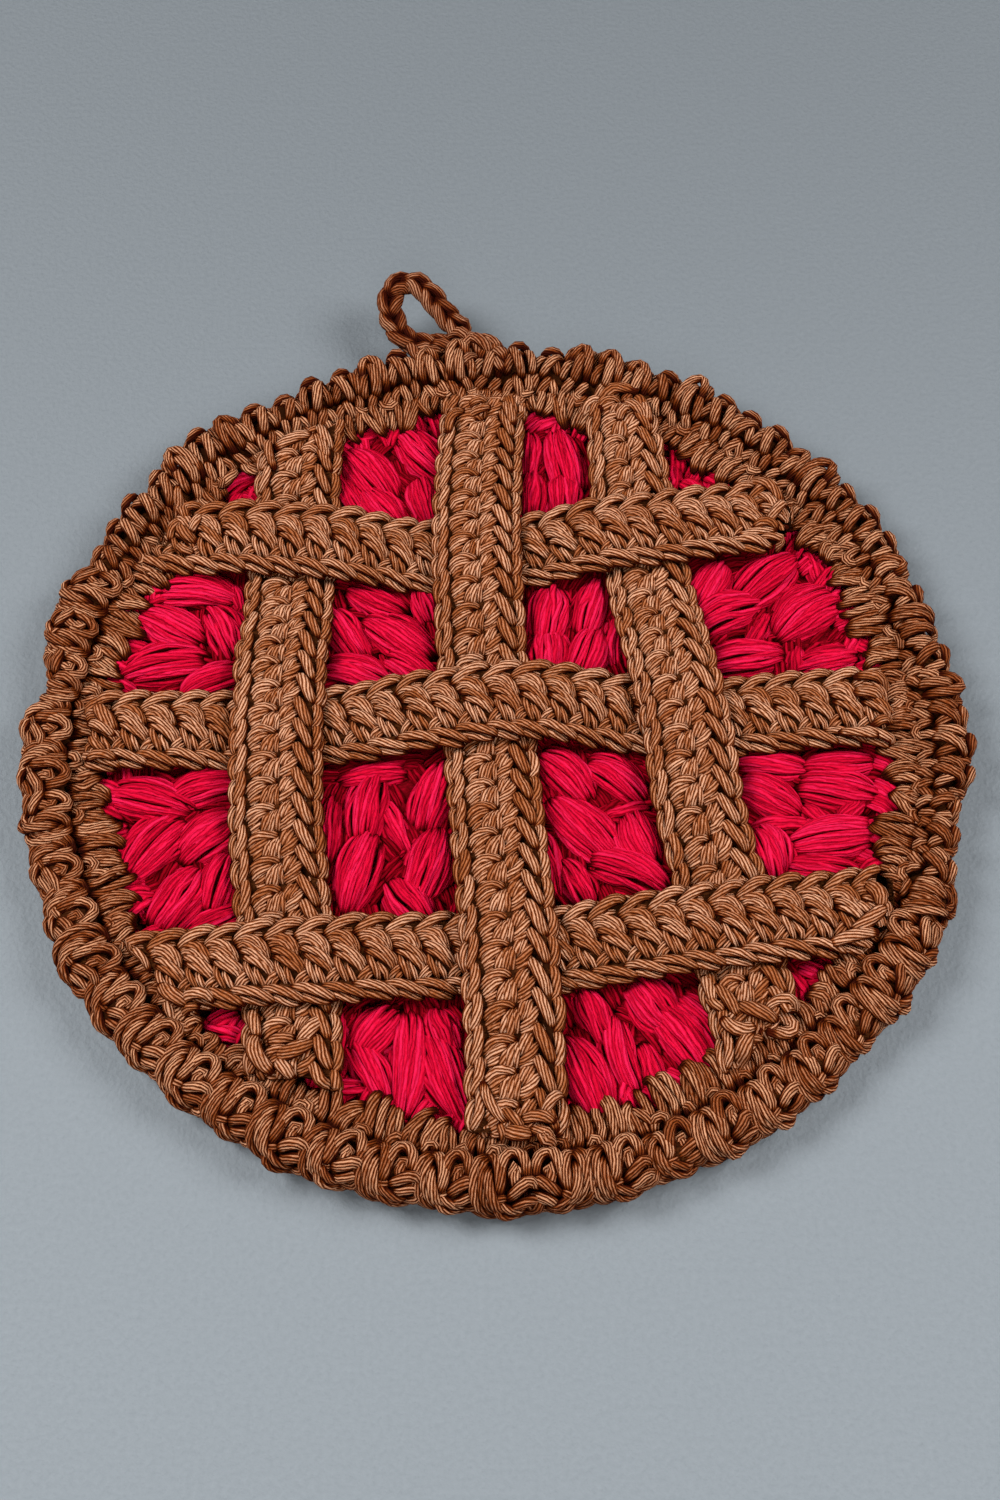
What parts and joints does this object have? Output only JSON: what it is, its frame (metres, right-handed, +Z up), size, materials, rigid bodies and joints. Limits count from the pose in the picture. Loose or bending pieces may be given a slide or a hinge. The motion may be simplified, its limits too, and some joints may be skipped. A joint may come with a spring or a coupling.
{
  "type": "crocheted pot holder",
  "caption": "Round crocheted pot holder with a puff-stitch disc, a knobbly border, crochet strips woven over it in a lattice and a chain loop to hang it by.",
  "frame": {"origin": "the disc's centre, on the underside that it rests on", "axes": "+Z up, out of the face with the lattice; +Y towards the rim that carries the hanging loop"},
  "size_m": [0.2, 0.2161, 0.0152],
  "materials": {
    "red_yarn": "soft cotton yarn",
    "brown_yarn": "smooth cotton yarn with a slight lustre"
  },
  "bodies": {
    "root": {"filling": "red_yarn", "border": "brown_yarn", "strip_left": "brown_yarn", "strip_middle": "brown_yarn", "strip_right": "brown_yarn", "strip_far": "brown_yarn", "strip_centre": "brown_yarn", "strip_near": "brown_yarn", "hanging_loop": "brown_yarn"}
  },
  "joints": []
}
